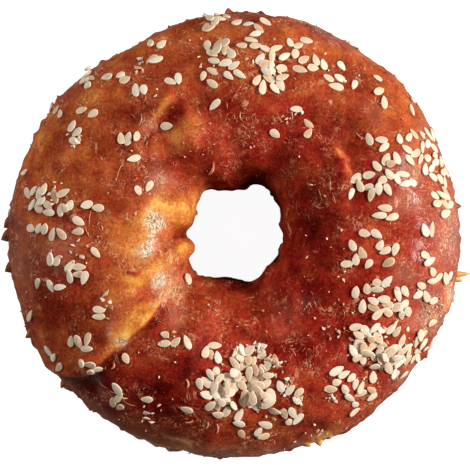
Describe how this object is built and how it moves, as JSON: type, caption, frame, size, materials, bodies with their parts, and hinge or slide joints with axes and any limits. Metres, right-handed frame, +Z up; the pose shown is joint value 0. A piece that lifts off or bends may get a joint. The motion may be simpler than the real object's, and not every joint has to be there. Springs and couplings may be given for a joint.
{
  "type": "sesame bagel",
  "caption": "Ring-shaped sesame bagel with a glossy red-brown wrapped crust, folded edges, a ragged rim and sesame seeds baked on top.",
  "frame": {"origin": "centre of the bounding box on the plane that the bagel rests on, which lies in the middle of the hole", "axes": "+Z up through the hole, out of the seeded side; +Y is the top of the bagel as it is seen from above, +X its right"},
  "size_m": [0.1019, 0.098, 0.036],
  "materials": {
    "crust": "glossy baked crust, mottled red-brown with orange and yellow patches",
    "sesame": "matte cream seed hull",
    "shreds": "dry, translucent yellow-brown flakes and fibres"
  },
  "bodies": {
    "root": {"bagel": "crust"}
  },
  "joints": []
}
